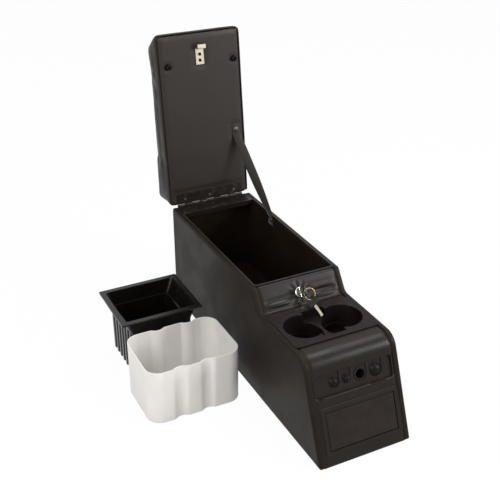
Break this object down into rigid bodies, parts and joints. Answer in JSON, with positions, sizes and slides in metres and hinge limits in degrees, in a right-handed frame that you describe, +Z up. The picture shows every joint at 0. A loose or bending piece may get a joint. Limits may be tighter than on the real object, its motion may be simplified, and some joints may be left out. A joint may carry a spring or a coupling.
{
  "type": "car center console",
  "caption": "Padded floor console for a car: hinged armrest lid held open by a strap over a deep bin, keyed lock, cups, power fittings, blanking plate and two loose bins.",
  "frame": {"origin": "middle of the underside of the console body, on the floor", "axes": "+X to the right as seen from behind the console looking forward, across the car; +Y from the console's nose to the lid's hinge; +Z up"},
  "size_m": [0.469, 0.862, 0.6864],
  "materials": {
    "body_vinyl": "grained semi-gloss black vinyl over thin padding",
    "lid_vinyl": "grained semi-gloss black vinyl over foam",
    "lid_lining": "smooth black vinyl lining",
    "inner_plastic": "matt black",
    "batten_wood": "unfinished",
    "piping": "satin black bead",
    "cup_plastic": "moulded satin black",
    "panel_plastic": "moulded satin black",
    "plate_plastic": "fine-grained black",
    "cap_plastic": "gloss black",
    "socket_metal": "plated, darkened",
    "contact_brass": "plain",
    "lock_chrome": "polished",
    "zinc_steel": "bright zinc plate",
    "dark_steel": "blackened screws",
    "key_metal": "bright nickel plate",
    "key_plastic": "satin black",
    "ring_brass": "worn plate",
    "hinge_steel": "black",
    "bumper_rubber": "matt",
    "strap_fabric": "woven black webbing",
    "bin_plastic": "moulded satin black",
    "liner_plastic": "milky white, slightly translucent"
  },
  "bodies": {
    "console": {"side_panel_left": "body_vinyl", "side_panel_right": "body_vinyl", "front_cover": "body_vinyl", "rear_panel": "inner_plastic", "rear_rail": "inner_plastic", "bulkhead": "inner_plastic", "well_floor": "inner_plastic", "base_battens": "batten_wood", "rim_trim": "piping", "cup_insert": "cup_plastic", "socket_panel": "panel_plastic", "outlet_socket": "socket_metal", "button_housing": "socket_metal", "power_socket": "socket_metal", "power_contact": "contact_brass", "lighter_socket": "socket_metal", "fascia_frame": "panel_plastic", "blanking_plate": "plate_plastic", "lock_housing": "lock_chrome", "lock_nut": "zinc_steel", "hinge_leaf_body": "hinge_steel", "hinge_pin": "hinge_steel", "hinge_screws_body": "hinge_steel", "strap_screw_wall": "zinc_steel", "lid_strap": "strap_fabric", "storage_bin": "bin_plastic", "bin_liner": "liner_plastic"},
    "lid": {"hinge_leaf_lid": "hinge_steel", "hinge_screws_lid": "hinge_steel", "lid_board": "lid_lining", "lid_cushion": "lid_vinyl", "latch_catch": "zinc_steel", "latch_screws": "dark_steel", "lid_bumpers": "bumper_rubber", "strap_screw_lid": "zinc_steel"},
    "lock_cylinder": {"lock_plug": "lock_chrome", "lock_cam": "zinc_steel", "cam_screw": "zinc_steel", "lock_key_blade": "key_metal", "lock_key_head": "key_plastic"},
    "key_ring": {"key_ring": "ring_brass"},
    "spare_key": {"spare_key_blade": "key_metal", "spare_key_head": "key_plastic"},
    "outlet_cap": {"outlet_cap": "cap_plastic"},
    "lighter_knob": {"lighter_knob": "cap_plastic"},
    "push_button": {"push_button": "cap_plastic"}
  },
  "joints": [
    {"name": "lid_hinge", "type": "hinge", "parent": "console", "child": "lid", "pos_m": [0, 0.3755, 0.2625], "axis": [1, 0, 0], "range_deg": [0, 96.7], "deforming": ["lid_strap"]},
    {"name": "key_turn", "type": "hinge", "parent": "console", "child": "lock_cylinder", "pos_m": [0, -0.08752, 0.23331], "axis": [0, -0.8125, 0.5829], "range_deg": [0, 90]},
    {"name": "ring_swing", "type": "hinge", "parent": "lock_cylinder", "child": "key_ring", "pos_m": [0, -0.10783, 0.24788], "axis": [1, 0, 0], "range_deg": [-70, 0]},
    {"name": "spare_key_swing", "type": "hinge", "parent": "key_ring", "child": "spare_key", "pos_m": [0.00921, -0.12027, 0.23012], "axis": [1, 0, 0], "range_deg": [-45, 0]},
    {"name": "outlet_cap_pull", "type": "slide", "parent": "console", "child": "outlet_cap", "axis": [0, -0.9307, 0.3658], "range_m": [0, 0.03]},
    {"name": "lighter_pull", "type": "slide", "parent": "console", "child": "lighter_knob", "axis": [0, -0.9307, 0.3658], "range_m": [0, 0.035]},
    {"name": "button_press", "type": "slide", "parent": "console", "child": "push_button", "axis": [0, -0.9307, 0.3658], "range_m": [-0.003, 0], "stiffness_N_per_m": 250}
  ]
}
